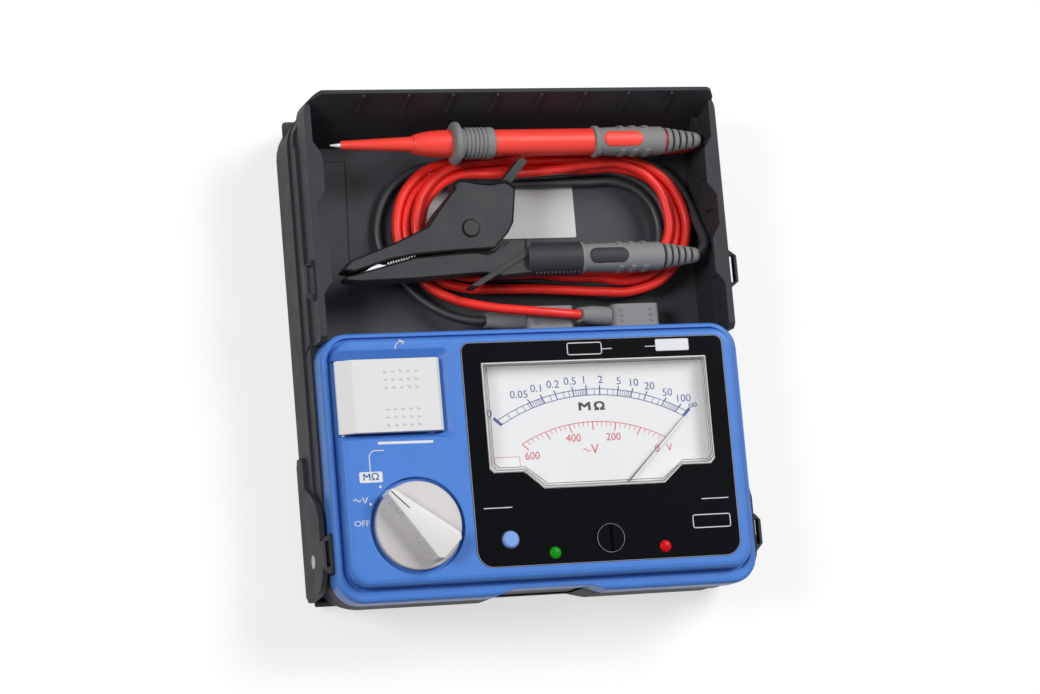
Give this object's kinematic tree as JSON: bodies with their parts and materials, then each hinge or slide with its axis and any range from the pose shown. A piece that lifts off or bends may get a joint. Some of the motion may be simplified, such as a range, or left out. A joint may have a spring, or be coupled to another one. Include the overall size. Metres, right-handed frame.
{
  "type": "analogue insulation tester",
  "caption": "Analogue insulation tester in a black hard case: blue cover, black panel with moving-coil meter, measure key, selector, coiled test leads with probe and clip, folding lid.",
  "frame": {"origin": "middle of the footprint, on the outer face of the lid that is stored round the back of the case", "axes": "+X across the case to the right as the panel is read, +Y up the panel towards the lead compartment, +Z out of the panel; the instrument lies on its back"},
  "size_m": [0.1594, 0.1769, 0.0529],
  "materials": {
    "case_plastic": "fine moulded texture",
    "steel": "plated",
    "plate_grey": "satin",
    "dark_plastic": "moulded",
    "cover_blue": "satin moulded",
    "panel_black": "gloss",
    "battery_jacket": "printed jacket",
    "brass": "plated",
    "board_green": "solder resist",
    "component_tan": "moulded",
    "meter_white": "moulded",
    "window_clear": "clear moulded",
    "scale_white": "matt paint",
    "iron_grey": "plated",
    "copper_wire": "enamelled wire",
    "needle_black": "matt paint",
    "key_white": "semi-gloss moulded",
    "knob_grey": "satin moulded",
    "button_blue": "translucent",
    "switch_blue": "moulded",
    "led_green": "clear coloured",
    "led_red": "clear coloured",
    "rubber_grey": "matt",
    "lead_red": "satin",
    "lead_black": "satin",
    "probe_red": "gloss",
    "probe_metal": "plated",
    "clip_black": "moulded"
  },
  "bodies": {
    "case": {"case_tray": "case_plastic", "compartment_walls": "case_plastic", "lid_pins": "steel", "floor_plate_label": "plate_grey", "rear_cover": "dark_plastic", "front_cover": "cover_blue", "face_panel": "panel_black", "case_screws": "steel", "battery_holder": "dark_plastic", "batteries": "battery_jacket", "battery_contacts": "brass", "battery_cover": "dark_plastic", "battery_cover_screw": "steel", "circuit_board": "board_green", "board_parts": "component_tan", "transformer": "iron_grey", "terminal_block": "dark_plastic", "terminal_sockets": "brass", "meter_housing": "meter_white", "meter_window": "window_clear", "scale_plate": "scale_white", "meter_magnet": "iron_grey", "meter_yoke": "iron_grey", "key_hinge_pin": "steel", "key_switch": "dark_plastic", "rotary_switch": "switch_blue", "lamp_spring": "steel", "lamp_switch": "dark_plastic", "led_green": "led_green", "led_red": "led_red", "red_plug": "rubber_grey", "red_plug_sleeve": "rubber_grey", "black_plug": "rubber_grey", "black_plug_sleeve": "rubber_grey", "plug_pins": "brass", "red_lead_start": "lead_red", "red_lead_coil": "lead_red", "red_lead_end": "lead_red", "black_lead_start": "lead_black", "black_lead_coil": "lead_black", "black_lead_end": "lead_black", "probe_tip": "probe_metal", "probe_barrel": "probe_red", "probe_guard": "rubber_grey", "probe_boot": "rubber_grey", "clip_lower_jaw": "clip_black", "clip_teeth": "probe_metal", "clip_rivet": "dark_plastic", "clip_spring": "steel", "clip_boot": "rubber_grey"},
    "lid": {"lid": "case_plastic"},
    "key": {"measure_key": "key_white"},
    "selector": {"selector_knob": "knob_grey", "selector_shaft": "steel"},
    "button": {"lamp_button": "button_blue"},
    "pointer": {"needle": "needle_black", "moving_coil": "copper_wire"},
    "zero_screw": {"zero_adjuster": "panel_black"},
    "upper_jaw": {"clip_upper_jaw": "clip_black"}
  },
  "joints": [
    {"name": "lid_swing", "type": "hinge", "parent": "case", "child": "lid", "pos_m": [0, -0.0715, 0.021], "axis": [-1, 0, 0], "range_deg": [0, 65]},
    {"name": "key_press", "type": "hinge", "parent": "case", "child": "key", "pos_m": [-0.0706, -0.0185, 0.0404], "axis": [0, 1, 0], "range_deg": [-12, 3], "stiffness_Nm_per_rad": 1},
    {"name": "selector_turn", "type": "hinge", "parent": "case", "child": "selector", "pos_m": [-0.0478, -0.0634, 0.0426], "axis": [0, 0, 1], "range_deg": [0, 45]},
    {"name": "button_press", "type": "slide", "parent": "case", "child": "button", "axis": [0, 0, -1], "range_m": [0, 0.0007], "stiffness_N_per_m": 2500, "springref_m": -0.0002, "deforming": ["lamp_spring"]},
    {"name": "pointer_swing", "type": "hinge", "parent": "case", "child": "pointer", "pos_m": [0.02045, -0.0608, 0.0409], "axis": [0, 0, 1], "range_deg": [0, 93], "stiffness_Nm_per_rad": 0.00001},
    {"name": "zero_turn", "type": "hinge", "parent": "case", "child": "zero_screw", "pos_m": [0.0207, -0.071, 0.043], "axis": [0, 0, 1], "range_deg": [-40, 40]},
    {"name": "clip_open", "type": "hinge", "parent": "case", "child": "upper_jaw", "pos_m": [-0.018, 0.0406, 0.0325], "axis": [0, 0, -1], "range_deg": [0, 18], "stiffness_Nm_per_rad": 0.4, "springref_deg": -28.65}
  ]
}
